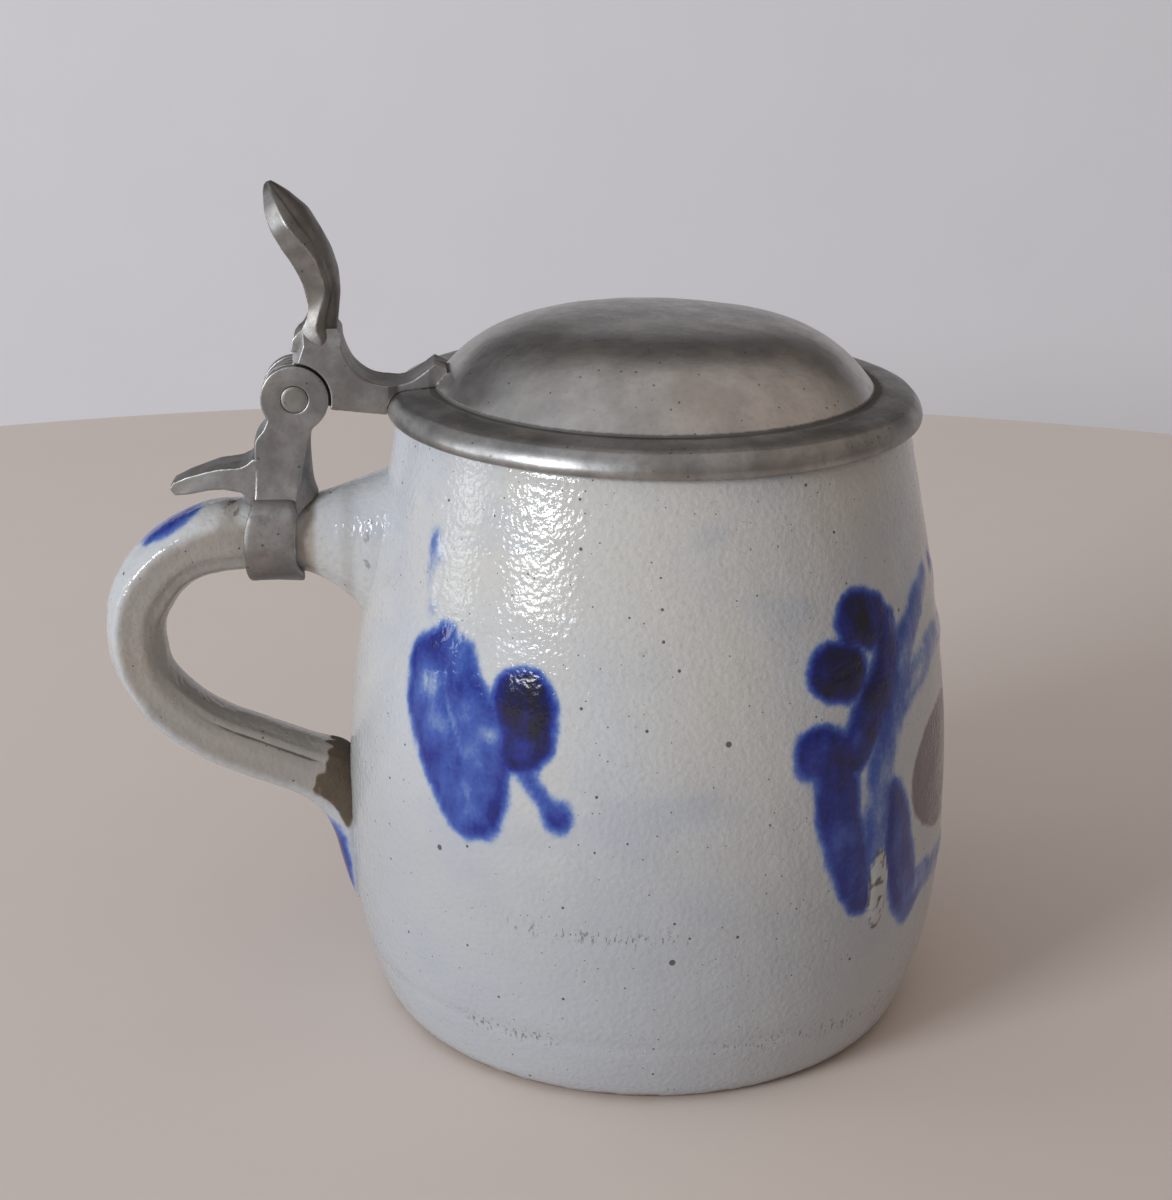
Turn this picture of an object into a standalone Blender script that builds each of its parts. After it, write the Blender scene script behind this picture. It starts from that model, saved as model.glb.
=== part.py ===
"""Half-litre salt-glazed stoneware stein with a hinged pewter lid.

Frame: the origin is the centre of the flat base, +Z is up, the handle and the hinge are on the -X side,
and the hinge pin lies along Y. Lengths below are in millimetres; MM turns them into Blender's metres.
"Out" means the distance from the mug's axis towards the handle, so a point (out, z) is at x = -out.
"""

import math

import bmesh
import bpy
from mathutils import Matrix, Vector

MM = 0.001
FIT_GAP = 0.3  # between neighbouring pieces
HINGE_GAP = 0.25  # between the rings of the hinge

# Stoneware body, turned about Z.
BODY_SEGMENTS = 60
BELLY_RADIUS = 53.0
FOOT_RADIUS = 43.5
LIP_HEIGHT = 107.0
LIP_RADIUS = 43.1
WALL = 4.7
FLOOR = 7.0

# Lid, turned about Z.
LID_SEGMENTS = 60
RIM_RADIUS = 45.2
RIM_TOP = 111.3
DOME_RADIUS = 37.2
DOME_RISE = 10.8
DOME_FULLNESS = 4.5  # how flat the crown is and how steep the foot
DOME_SHELL = 1.5

# Hinge.
PIN_OUT = 60.3
PIN_HEIGHT = 109.7
PIN_RADIUS = 2.25
PIN_CLEARANCE = 0.1
RING_RADIUS = 5.65
HINGE_HALF_WIDTH = 5.0
RING_SEGMENTS = 40
SLOT_RADIUS = RING_RADIUS + 0.45
SHANK_RING_INNER, SHANK_RING_OUTER = 1.15, 2.95  # |y| of the shank's two rings

# Band round the handle.
BAND_FRONT, BAND_BACK = 60.4, 69.3
BAND_HEIGHT = 85.2
BAND_THICKNESS = 1.3


def clear_scene():
    for obj in list(bpy.data.objects):
        bpy.data.objects.remove(obj, do_unlink=True)


def material(name, colour, roughness, metallic):
    made = bpy.data.materials.new(name)
    made.use_nodes = True
    shader = made.node_tree.nodes["Principled BSDF"]
    shader.inputs["Base Color"].default_value = (*colour, 1.0)
    shader.inputs["Roughness"].default_value = roughness
    shader.inputs["Metallic"].default_value = metallic
    made.diffuse_color = (*colour, 1.0)
    return made


def place(name, bm, look=None):
    """Closes off a bmesh built in millimetres as an object in metres."""
    bmesh.ops.remove_doubles(bm, verts=bm.verts, dist=1e-4)
    bmesh.ops.recalc_face_normals(bm, faces=bm.faces)
    bmesh.ops.scale(bm, vec=Vector((MM, MM, MM)), verts=bm.verts)
    mesh = bpy.data.meshes.new(name)
    bm.to_mesh(mesh)
    bm.free()
    mesh.shade_smooth()
    mesh.set_sharp_from_angle(angle=math.radians(35))
    obj = bpy.data.objects.new(name, mesh)
    bpy.context.scene.collection.objects.link(obj)
    if look:
        mesh.materials.append(look)
    return obj


def cutter(name, bm):
    obj = place(name, bm)
    obj.hide_render = True
    obj.display_type = "WIRE"
    return obj


def boolean(obj, other, operation):
    modifier = obj.modifiers.new(other.name, "BOOLEAN")
    modifier.operation = operation
    modifier.solver = "EXACT"
    modifier.object = other


def smooth(points, steps):
    """A Catmull-Rom curve through the points, with that many steps per span."""
    points = [Vector(p) for p in points]
    ends = [2 * points[0] - points[1], *points, 2 * points[-1] - points[-2]]
    curve = []
    for a, b, c, d in zip(ends, ends[1:], ends[2:], ends[3:]):
        for step in range(steps):
            t = step / steps
            curve.append(
                0.5 * (2 * b + (c - a) * t + (2 * a - 5 * b + 4 * c - d) * t**2 + (3 * b - a - 3 * c + d) * t**3)
            )
    curve.append(points[-1])
    return curve


def turned(loop, segments):
    """A solid turned about Z from a loop of (radius, z); a loop end on the axis closes to a point."""
    bm = bmesh.new()
    rings = []
    for radius, z in loop:
        if radius < 1e-6:
            rings.append([bm.verts.new((0, 0, z))])
            continue
        angles = (2 * math.pi * k / segments for k in range(segments))
        rings.append([bm.verts.new((radius * math.cos(a), radius * math.sin(a), z)) for a in angles])
    open_loop = len(rings[0]) == 1
    pairs = list(zip(rings, rings[1:])) if open_loop else list(zip(rings, rings[1:] + rings[:1]))
    for low, high in pairs:
        for k in range(segments):
            n = (k + 1) % segments
            if len(low) == 1:
                bm.faces.new((low[0], high[n], high[k]))
            elif len(high) == 1:
                bm.faces.new((low[k], low[n], high[0]))
            else:
                bm.faces.new((low[k], low[n], high[n], high[k]))
    return bm


def prism(outline, low_y, high_y):
    """An outline of (out, z) points, extruded along Y."""
    bm = bmesh.new()
    face = bm.faces.new([bm.verts.new((-out, low_y, z)) for out, z in outline])
    grown = bmesh.ops.extrude_face_region(bm, geom=[face])
    moved = [item for item in grown["geom"] if isinstance(item, bmesh.types.BMVert)]
    bmesh.ops.translate(bm, vec=(0, high_y - low_y, 0), verts=moved)
    return bm


def drum(radius, low_y, high_y, segments=RING_SEGMENTS):
    """A cylinder on the hinge axis."""
    angles = [2 * math.pi * k / segments for k in range(segments)]
    return prism([(PIN_OUT + radius * math.cos(a), PIN_HEIGHT + radius * math.sin(a)) for a in angles], low_y, high_y)


def section(outer, inner, half_width, count, squareness=2.0):
    """A rounded section across a rung from its outer to its inner point, half_width either side along Y."""
    centre, half = (outer + inner) / 2, (outer - inner) / 2
    points = []
    for k in range(count):
        a = 2 * math.pi * k / count
        along = math.copysign(abs(math.cos(a)) ** (2 / squareness), math.cos(a))
        across = math.copysign(abs(math.sin(a)) ** (2 / squareness), math.sin(a))
        spot = centre + half * along
        points.append((-spot.x, half_width * across, spot.y))
    return points


def loft(rungs, steps, count, squareness=2.0):
    """A solid through rungs of (outer out, outer z, inner out, inner z, half width)."""
    outer = smooth([(r[0], r[1]) for r in rungs], steps)
    inner = smooth([(r[2], r[3]) for r in rungs], steps)
    widths = smooth([(r[4], 0) for r in rungs], steps)
    bm = bmesh.new()
    rings = []
    for high, low, width in zip(outer, inner, widths):
        rings.append([bm.verts.new(p) for p in section(high, low, width.x, count, squareness)])
    for a, b in zip(rings, rings[1:]):
        for k in range(count):
            n = (k + 1) % count
            bm.faces.new((a[k], a[n], b[n], b[k]))
    bm.faces.new(rings[0])
    bm.faces.new(rings[-1])
    return bm


def body_outside(offset=0.0):
    """(radius, z) up the outside of the stoneware, from the foot to just under the lip."""
    heel = [(FOOT_RADIUS, 0.0), (45.9, 1.0)]
    side = [(47.4, 3.0), (49.3, 8.0), (51.4, 16.0), (52.7, 27.0), (BELLY_RADIUS, 40.0), (52.3, 53.0)]
    neck = [(50.9, 66.0), (48.6, 79.5), (45.9, 92.8), (LIP_RADIUS + 0.4, 104.4)]
    points = [heel[0]] + [tuple(p) for p in smooth([*heel[1:], *side, *neck], 1)]
    return [(r + offset, z) for r, z in points]


def body_loop():
    outside = body_outside()
    lip = [(LIP_RADIUS, 106.2), (LIP_RADIUS - 0.9, 106.8), (LIP_RADIUS - 2.2, LIP_HEIGHT)]
    lip += [(LIP_RADIUS - 3.5, 106.6), (LIP_RADIUS - 4.1, 105.6)]
    inside = [(r - WALL, z) for r, z in reversed(outside) if z > FLOOR + 8]
    floor_corner = [(46.2 - 0.9, FLOOR + 5.0), (46.2 - 3.4, FLOOR + 1.6), (46.2 - 7.5, FLOOR), (0.0, FLOOR)]
    return [(0.0, 0.0), *outside, *lip, *inside, *floor_corner]


def rim_outside():
    """(radius, z) over the top and the rolled edge of the lid's rim, from its hole to its lower edge."""
    return [
        (36.2, RIM_TOP),
        (39.6, RIM_TOP - 0.05),
        (42.0, RIM_TOP - 0.35),
        (43.7, RIM_TOP - 1.05),
        (44.7, RIM_TOP - 2.0),
        (RIM_RADIUS, RIM_TOP - 3.2),
        (RIM_RADIUS, RIM_TOP - 4.1),
        (44.9, RIM_TOP - 4.7),
    ]


def rim_loop():
    seat = LIP_HEIGHT + FIT_GAP
    return [*rim_outside(), (44.3, RIM_TOP - 4.7), (43.9, seat), (37.8, seat), (37.5, 104.2), (36.2, 104.2)]


def dome_curve(foot_radius, foot, rise):
    """(radius, z) up a dome that leaves its foot steeply and flattens towards the crown."""
    curve = []
    steps = 9
    for k in range(steps):
        climbed = math.sin(math.radians(90) * k / steps) ** 2
        curve.append((foot_radius * (1 - climbed) ** (1 / DOME_FULLNESS), foot + rise * climbed))
    return [*curve, (foot_radius * 0.2, foot + rise), (0.0, foot + rise)]


def dome_loop():
    foot = RIM_TOP + FIT_GAP
    inside = dome_curve(DOME_RADIUS - DOME_SHELL, foot, DOME_RISE - DOME_SHELL)
    return [*reversed(inside), *dome_curve(DOME_RADIUS, foot, DOME_RISE)]


def lid_clearance_loop():
    """A solid a little larger than the lid, for cutting the shank to it."""
    dome = dome_curve(DOME_RADIUS + FIT_GAP, RIM_TOP + FIT_GAP, DOME_RISE + FIT_GAP)
    rim = [(r + FIT_GAP, z + FIT_GAP) for r, z in rim_outside() if r > DOME_RADIUS + 1]
    return [(0.0, 100.0), (RIM_RADIUS + FIT_GAP, 100.0), *reversed(rim), *dome]


def handle_rungs():
    """Outer point, inner point and half width, from inside the wall over the loop and down the tail."""
    return [
        (42.0, 98.0, 42.0, 70.5, 9.5),
        (48.0, 95.6, 48.0, 70.5, 9.3),
        (52.0, 93.9, 52.0, 73.9, 8.4),
        (56.0, 92.5, 56.0, 77.0, 7.5),
        (59.8, 91.6, 59.8, 78.7, 7.0),
        (65.5, 91.3, 65.5, 79.1, 6.8),
        (70.5, 91.2, 70.5, 79.2, 6.8),
        (77.0, 90.4, 76.2, 78.2, 6.9),
        (84.2, 86.7, 80.0, 76.0, 6.9),
        (90.0, 81.2, 82.6, 72.3, 6.9),
        (93.4, 74.2, 83.8, 69.4, 6.9),
        (93.9, 65.8, 83.9, 65.4, 6.9),
        (91.9, 58.1, 83.1, 61.5, 6.8),
        (86.3, 50.4, 79.7, 57.2, 6.7),
        (79.0, 44.9, 74.3, 53.3, 6.7),
        (70.0, 40.6, 66.4, 50.0, 6.7),
        (62.8, 37.8, 59.2, 47.1, 6.9),
        (58.4, 34.6, 53.0, 44.9, 7.4),
        (56.2, 30.0, 48.0, 40.0, 7.6),
        (54.8, 24.5, 46.0, 34.0, 7.0),
        (53.5, 19.5, 45.0, 28.0, 5.6),
        (51.6, 16.2, 44.0, 25.0, 3.6),
    ]


def band(front, back, inner, outer, count=40):
    """A closed band along X: front and back are distances out, inner and outer are (half width, half height)."""
    bm = bmesh.new()
    rings = []
    corners = [(front, inner), (front, outer), (back, outer), (back, inner)]
    for out, (wide, high) in corners:
        flare = 0.25 if out == front else 0.0
        ring = []
        for k in range(count):
            a = 2 * math.pi * k / count
            spot = (-out, (wide + flare) * math.cos(a), BAND_HEIGHT + (high + flare) * math.sin(a))
            ring.append(bm.verts.new(spot))
        rings.append(ring)
    for a, b in zip(rings, rings[1:] + rings[:1]):
        for k in range(count):
            n = (k + 1) % count
            bm.faces.new((a[k], a[n], b[n], b[k]))
    return bm


def post_outline():
    """(out, z) round the post's side: its neck under the rings, with the bulge at the back."""
    front = [(60.6, 86.0), (59.8, 95.0), (58.9, 99.5), (58.4, 102.6), (57.4, 104.3), (56.4, 105.8)]
    top = [(58.0, 110.0), (63.0, 110.0), (65.6, 108.4)]
    back = [(65.5, 106.9), (65.9, 105.4), (67.1, 103.8), (67.2, 101.2), (67.2, 86.0)]
    return front + top + back


def shank_outline():
    """(out, z) round the shank's side: from the thumblift's seat, over the hollow, to the lid and back."""
    hollow = smooth(
        [(52.5, 119.5), (51.9, 117.2), (50.3, 114.3), (47.7, 112.4), (44.4, 111.9), (41.3, 112.4), (38.6, 113.8)], 2
    )
    nose = [(36.9, 115.2), (35.2, 114.4), (34.0, 107.0)]
    under = [(44.0, 106.9), (54.3, 107.9), (57.0, 109.7)]
    heel = [(60.0, 112.0), (60.6, 116.6), (60.5, 119.5)]
    return [tuple(p) for p in hollow] + nose + under + heel


def tang_outline():
    """(out, z) round the tang's side: a tapering leaf that reaches back over the handle."""
    top = [(67.5, 99.6), (68.8, 98.5), (70.6, 98.0), (73.5, 97.6), (75.7, 97.0), (78.6, 96.2), (80.4, 95.4)]
    tip = [(81.0, 94.5), (80.4, 93.4)]
    under = [(78.6, 93.4), (75.3, 93.9), (72.6, 94.1), (70.2, 93.7), (67.5, 93.5)]
    return top + tip + under


def thumblift_rungs():
    """Front point, back point and half width, from the seat on the shank up to the tip."""
    return [
        (52.6, 119.8, 60.3, 119.8, 4.8),
        (52.9, 121.8, 58.6, 121.7, 4.2),
        (52.6, 124.6, 57.7, 124.3, 3.8),
        (52.4, 127.9, 57.9, 126.9, 4.3),
        (52.7, 130.8, 58.8, 129.8, 5.3),
        (53.6, 133.8, 60.2, 132.6, 6.3),
        (55.1, 137.0, 61.8, 135.2, 7.0),
        (57.2, 140.4, 63.2, 137.9, 6.8),
        (59.8, 142.8, 64.1, 140.6, 5.3),
        (62.0, 144.4, 64.4, 143.2, 3.2),
        (63.3, 145.2, 64.2, 144.7, 1.4),
    ]


def main():
    clear_scene()
    stoneware = material("stoneware", (0.56, 0.58, 0.59), 0.32, 0.0)
    pewter = material("pewter", (0.30, 0.29, 0.27), 0.42, 1.0)
    polished_pewter = material("polished_pewter", (0.36, 0.35, 0.33), 0.33, 1.0)

    hinge = bpy.data.objects.new("hinge_axis", None)
    hinge.location = (-PIN_OUT * MM, 0, PIN_HEIGHT * MM)
    bpy.context.scene.collection.objects.link(hinge)

    # Mug: the turned body, and the pulled handle that was luted onto it.
    place("stoneware_body", turned(body_loop(), BODY_SEGMENTS), stoneware)
    wall = cutter("wall_clearance", turned([(0, -5), (30, -5), *body_outside(FIT_GAP), (0, 104.4)], BODY_SEGMENTS))
    handle = place("stoneware_handle", loft(handle_rungs(), 2, 20, 2.25), stoneware)
    boolean(handle, wall, "DIFFERENCE")

    # Mounting on the handle: band, post with three hinge rings, tang and pin.
    inner, outer = (7.25, 6.65), (7.25 + BAND_THICKNESS, 6.65 + BAND_THICKNESS)
    place("handle_band", band(BAND_FRONT, BAND_BACK, inner, outer), pewter)
    band_clearance = (outer[0] + FIT_GAP, outer[1] + FIT_GAP)
    saddle = cutter("band_clearance", loft_along_x(band_clearance, 50.0, 75.0))
    post = place("hinge_post", prism(post_outline(), -HINGE_HALF_WIDTH, HINGE_HALF_WIDTH), pewter)
    boolean(post, cutter("post_rings", drum(RING_RADIUS, -HINGE_HALF_WIDTH, HINGE_HALF_WIDTH)), "UNION")
    for side, low in (("left", SHANK_RING_INNER), ("right", -SHANK_RING_OUTER)):
        high = low + SHANK_RING_OUTER - SHANK_RING_INNER
        slot = cutter(f"post_slot_{side}", drum(SLOT_RADIUS, low - HINGE_GAP, high + HINGE_GAP))
        boolean(post, slot, "DIFFERENCE")
    bore = cutter("pin_bore", drum(PIN_RADIUS + PIN_CLEARANCE, -8.0, 8.0))
    boolean(post, bore, "DIFFERENCE")
    boolean(post, saddle, "DIFFERENCE")
    tang = place("rear_tang", prism(tang_outline(), -HINGE_HALF_WIDTH, HINGE_HALF_WIDTH), pewter)
    boolean(tang, saddle, "DIFFERENCE")
    place("hinge_pin", drum(PIN_RADIUS, -HINGE_HALF_WIDTH, HINGE_HALF_WIDTH), polished_pewter)

    # Lid: rim, dome, shank with two hinge rings, and thumblift.
    rim = place("lid_rim", turned(rim_loop(), LID_SEGMENTS), polished_pewter)
    dome = place("lid_dome", turned(dome_loop(), LID_SEGMENTS), polished_pewter)
    shank = place("lid_shank", prism(shank_outline(), -HINGE_HALF_WIDTH, HINGE_HALF_WIDTH), pewter)
    boolean(shank, cutter("lid_clearance", turned(lid_clearance_loop(), LID_SEGMENTS)), "DIFFERENCE")
    boolean(shank, cutter("shank_rings", drum(RING_RADIUS, -SHANK_RING_OUTER, SHANK_RING_OUTER)), "UNION")
    for name, low, high in (
        ("near", -8.0, -SHANK_RING_OUTER),
        ("middle", -SHANK_RING_INNER, SHANK_RING_INNER),
        ("far", SHANK_RING_OUTER, 8.0),
    ):
        boolean(shank, cutter(f"shank_slot_{name}", drum(SLOT_RADIUS, low, high)), "DIFFERENCE")
    boolean(shank, bore, "DIFFERENCE")
    thumblift = place("thumblift", loft(thumblift_rungs(), 2, 18, 1.8), pewter)

    for piece in (rim, dome, shank, thumblift):
        piece.data.transform(Matrix.Translation(-hinge.location))
        piece.parent = hinge


def loft_along_x(half_sizes, front, back, count=48):
    """An oval bar along X at the band's height."""
    bm = bmesh.new()
    wide, high = half_sizes
    rings = []
    for out in (front, back):
        angles = (2 * math.pi * k / count for k in range(count))
        spots = [(-out, wide * math.cos(a), BAND_HEIGHT + high * math.sin(a)) for a in angles]
        rings.append([bm.verts.new(p) for p in spots])
    for k in range(count):
        n = (k + 1) % count
        bm.faces.new((rings[0][k], rings[0][n], rings[1][n], rings[1][k]))
    bm.faces.new(rings[0])
    bm.faces.new(rings[1])
    return bm


main()
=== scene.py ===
"""Salt-glazed stoneware stein with a hinged pewter lid: its finished look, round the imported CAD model.

The frame is the CAD's: the origin is the centre of the base, +Z is up, and the handle and hinge are on the
-X side. Shapes are worked out in millimetres and turned into metres when a mesh is made. "Out" is the
distance from the mug's axis towards the handle, so a point (out, z) is at x = -out. Azimuths are degrees
round Z: 0 is opposite the handle, -90 is the side with the handle on its left.
"""

import math

import bpy
import numpy as np
from mathutils import Matrix, Vector


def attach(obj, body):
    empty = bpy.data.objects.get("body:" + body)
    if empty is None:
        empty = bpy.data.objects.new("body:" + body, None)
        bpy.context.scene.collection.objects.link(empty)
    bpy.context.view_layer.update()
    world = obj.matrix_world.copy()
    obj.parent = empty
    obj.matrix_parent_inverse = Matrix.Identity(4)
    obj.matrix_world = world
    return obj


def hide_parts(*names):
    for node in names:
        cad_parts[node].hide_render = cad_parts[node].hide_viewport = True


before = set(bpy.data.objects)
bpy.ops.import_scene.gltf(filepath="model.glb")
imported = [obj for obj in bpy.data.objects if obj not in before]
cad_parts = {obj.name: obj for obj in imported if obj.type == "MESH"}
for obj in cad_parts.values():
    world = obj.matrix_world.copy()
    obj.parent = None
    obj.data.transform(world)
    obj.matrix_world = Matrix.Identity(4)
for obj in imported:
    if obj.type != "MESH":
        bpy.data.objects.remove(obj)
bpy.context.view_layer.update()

MM = 0.001

# Stoneware.
BODY_SEGMENTS = 480
FOOT_RADIUS, LIP_HEIGHT, LIP_RADIUS = 43.5, 107.0, 43.1
WALL, FLOOR = 4.7, 7.0
BODY_SIDE = [
    (45.9, 1.0), (47.4, 3.0), (49.3, 8.0), (51.4, 16.0), (52.7, 27.0), (53.0, 40.0),
    (52.3, 53.0), (50.9, 66.0), (48.6, 79.5), (45.9, 92.8), (LIP_RADIUS + 0.4, 104.4),
]
PAINT_RADIUS = 51.0  # the radius that turns degrees round the body into millimetres of brushwork
INK_REACH = 10.0  # millimetres over which the "ink" field goes from 0 to 1; its edge is at 0.5
UNDERSIDE_ROWS = 7  # rings of the body below its heel, unglazed

# Lid.
RIM_RADIUS, RIM_TOP = 45.2, 111.3
DOME_RADIUS, DOME_RISE, DOME_FULLNESS, DOME_SHELL = 37.2, 10.8, 4.5, 1.5
LID_SEGMENTS = 288
SEAM_ANGLE = 60  # degrees from which a fold of the turned pewter is sharp

# Hinge.
PIN_OUT, PIN_HEIGHT, PIN_RADIUS = 60.3, 109.7, 2.25
RING_RADIUS, HINGE_HALF_WIDTH = 5.65, 5.0
SLOT_RADIUS, HINGE_GAP = RING_RADIUS + 0.45, 0.25
SHANK_RING_INNER, SHANK_RING_OUTER = 1.15, 2.95  # |y| of the shank's two rings

# Band round the handle.
BAND_HEIGHT, BAND_FRONT, BAND_BACK = 85.2, 60.4, 69.3
BAND_INNER, BAND_THICKNESS = (7.25, 6.65), 1.3
CAST_UNEVEN = 0.05  # millimetres that a cast surface rises and falls


# ---- curves and meshes

def spline(points, per_span=12):
    """A Catmull-Rom curve through the points."""
    p = np.asarray(points, float)
    p = np.vstack([2 * p[0] - p[1], p, 2 * p[-1] - p[-2]])
    t = np.linspace(0, 1, per_span, endpoint=False)[:, None]
    spans = [
        0.5 * (2 * b + (c - a) * t + (2 * a - 5 * b + 4 * c - d) * t**2 + (3 * b - a - 3 * c + d) * t**3)
        for a, b, c, d in zip(p, p[1:], p[2:], p[3:])
    ]
    return np.vstack([*spans, p[-2:-1]])


def resample(path, count):
    """The same path with count points, evenly spaced along it."""
    run = np.concatenate([[0], np.cumsum(np.linalg.norm(np.diff(path, axis=0), axis=1))])
    spots = np.linspace(0, run[-1], count)
    return np.stack([np.interp(spots, run, column) for column in path.T], axis=1)


def smoothstep(x, low, high):
    t = np.clip((x - low) / (high - low), 0, 1)
    return t * t * (3 - 2 * t)


def plateau(x, low, full, fall, high):
    """0 below low and above high, 1 from full to fall."""
    return smoothstep(x, low, full) * (1 - smoothstep(x, fall, high))


def bell(x, centre, width):
    return np.exp(-(((x - centre) / width) ** 2))


def full_turn(count):
    """Angles, evenly spaced once round."""
    return 2 * math.pi * np.arange(count) / count


def squarish(a, power):
    """The cosine and sine of a on a circle that is squarer for a smaller power."""
    return (np.sign(part) * np.abs(part) ** power for part in (np.cos(a), np.sin(a)))


def wobble(points, size, seed):
    """Smooth unevenness from -1 to 1 with features of about that size, the same at each run."""
    rng = np.random.default_rng(seed)
    total = np.zeros(len(points))
    for _ in range(7):
        direction = rng.normal(size=3)
        direction /= np.linalg.norm(direction)
        waves = points @ direction * (2 * math.pi / size) * rng.uniform(0.6, 1.5)
        total += np.sin(waves + rng.uniform(0, 6.3))
    return total / 7 * 1.8


def grid_faces(rows, columns, close_rows=False):
    """Quads over rows of points, with each row closed on itself."""
    faces = []
    for row in range(rows if close_rows else rows - 1):
        a, b = row * columns, (row + 1) % rows * columns
        for k in range(columns):
            n = (k + 1) % columns
            faces.append((a + k, a + n, b + n, b + k))
    return faces


def capped(points, faces, columns, low, high):
    """The grid closed by a fan from its first row to low, and one from its last row to high."""
    count = len(points)
    for k in range(columns):
        n = (k + 1) % columns
        faces.append((count, n, k))
        faces.append((count + 1, count - columns + k, count - columns + n))
    return np.vstack([points, low, high]), faces


def turned(loop, segments):
    """Points and faces of a solid turned about Z from a loop of (radius, z); ends on the axis close up."""
    loop = np.asarray(loop, float)
    poles = loop[0, 0] < 1e-6 and loop[-1, 0] < 1e-6
    rings = loop[1:-1] if poles else loop
    a = full_turn(segments)
    r, z = rings[:, :1], np.repeat(rings[:, 1:], segments, axis=1)
    points = np.stack([r * np.cos(a), r * np.sin(a), z], axis=2).reshape(-1, 3)
    faces = grid_faces(len(rings), segments, close_rows=not poles)
    if poles:
        return capped(points, faces, segments, (0, 0, loop[0, 1]), (0, 0, loop[-1, 1]))
    return points, faces


def lofted(rings):
    """Points and faces of a solid through rings of points, with a fan at each end."""
    rings = np.asarray(rings, float)
    rows, columns = rings.shape[:2]
    ends = rings[0].mean(axis=0), rings[-1].mean(axis=0)
    return capped(rings.reshape(-1, 3), grid_faces(rows, columns), columns, *ends)


def prism(outline, low_y, high_y):
    """An outline of (out, z) points, extruded along Y."""
    flat = np.asarray(outline, float)
    ends = [np.stack([-flat[:, 0], np.full(len(flat), y), flat[:, 1]], axis=1) for y in (low_y, high_y)]
    count = len(flat)
    faces = [tuple(range(count - 1, -1, -1)), tuple(range(count, 2 * count))]
    faces += [(k, (k + 1) % count, (k + 1) % count + count, k + count) for k in range(count)]
    return np.vstack(ends), faces


def drum(radius, low_y, high_y):
    """A cylinder on the hinge axis."""
    a = full_turn(72)
    circle = np.stack([PIN_OUT + radius * np.cos(a), PIN_HEIGHT + radius * np.sin(a)], axis=1)
    return prism(circle, low_y, high_y)


def joined(parts):
    """Several solids as one, each facing outwards."""
    points, faces, first = [], [], 0
    for some, theirs in parts:
        points.append(some)
        faces += [tuple(i + first for i in face) for face in outward(some, theirs)]
        first += len(some)
    return np.vstack(points), faces


def outward(points, faces):
    """The faces, all turned round if they face inwards."""
    triangles = np.array([(face[0], i, j) for face in faces for i, j in zip(face[1:], face[2:])])
    a, b, c = (np.asarray(points)[triangles[:, k]] for k in range(3))
    if np.einsum("ij,ij->", a, np.cross(b, c)) > 0:
        return faces
    return [tuple(reversed(face)) for face in faces]


def linked(name, data):
    obj = bpy.data.objects.new(name, data)
    bpy.context.scene.collection.objects.link(obj)
    return obj


def new_object(name, points, faces, scale=1.0):
    mesh = bpy.data.meshes.new(name)
    mesh.from_pydata((np.asarray(points) * scale).tolist(), [], faces)
    return linked(name, mesh)


def piece(name, points, faces, look, body, nodes, fields=(), sharp=None):
    """Finishes a piece, which rides on a body and stands in for its CAD nodes; sharp is in degrees."""
    obj = new_object(name, points, outward(points, faces), MM)
    mesh = obj.data
    mesh.shade_smooth()
    if sharp:
        mesh.set_sharp_from_angle(angle=math.radians(sharp))
    for key, values in dict(fields).items():
        attribute = mesh.attributes.new(key, "FLOAT", "POINT")
        attribute.data.foreach_set("value", np.asarray(values, np.float32))
    mesh.materials.append(look)
    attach(obj, body)
    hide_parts(*nodes)


def cast_solid(parts, cuts, voxel):
    """The union of the parts less the cuts, as an even mesh with softened edges: (points, quads)."""
    helpers = []

    def helper(shape):
        points, faces = shape
        helpers.append(new_object("helper", points, outward(points, faces)))
        return helpers[-1]

    base = helper(joined(parts))
    for cut in (None, *cuts, None):
        if cut is None:
            modifier = base.modifiers.new("even", "REMESH")
            modifier.mode = "VOXEL"
            modifier.voxel_size = voxel
        else:
            modifier = base.modifiers.new("cut", "BOOLEAN")
            modifier.operation = "DIFFERENCE"
            modifier.solver = "EXACT"
            modifier.object = helper(cut)
    graph = bpy.context.evaluated_depsgraph_get()
    mesh = bpy.data.meshes.new_from_object(base.evaluated_get(graph))
    points = np.empty(len(mesh.vertices) * 3)
    mesh.vertices.foreach_get("co", points)
    faces = [tuple(face.vertices) for face in mesh.polygons]
    for obj in helpers:
        bpy.data.objects.remove(obj)
    bpy.data.meshes.remove(mesh)
    return points.reshape(-1, 3), faces


def edges_of(faces):
    pairs = np.array([pair for face in faces for pair in zip(face, (*face[1:], face[0]))])
    return np.unique(np.sort(pairs, axis=1), axis=0)


def neighbour_mean(values, edges):
    total = np.zeros_like(values)
    count = np.zeros(len(values))
    for a, b in ((edges[:, 0], edges[:, 1]), (edges[:, 1], edges[:, 0])):
        np.add.at(total, a, values[b])
        np.add.at(count, a, 1)
    return total / (count[:, None] if values.ndim == 2 else count)


def relaxed(points, edges, rounds):
    for _ in range(rounds):
        points = points * 0.5 + neighbour_mean(points, edges) * 0.5
    return points


def normals_of(points, faces):
    quads = np.array([f if len(f) == 4 else (*f, f[-1]) for f in faces])
    cross = np.cross(points[quads[:, 2]] - points[quads[:, 0]], points[quads[:, 3]] - points[quads[:, 1]])
    total = np.zeros_like(points)
    for k in range(4):
        np.add.at(total, quads[:, k], cross)
    return total / np.maximum(np.linalg.norm(total, axis=1), 1e-12)[:, None]


def planed(points, facets, share=1.0):
    """Files flat whatever stands proud of each (point, normal) facet, fully where share is 1."""
    for spot, normal in facets:
        normal = np.array(normal, float) / np.linalg.norm(normal)
        proud = (points - np.array(spot, float)) @ normal
        points = points - (share * np.maximum(proud, 0))[:, None] * normal
    return points


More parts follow.
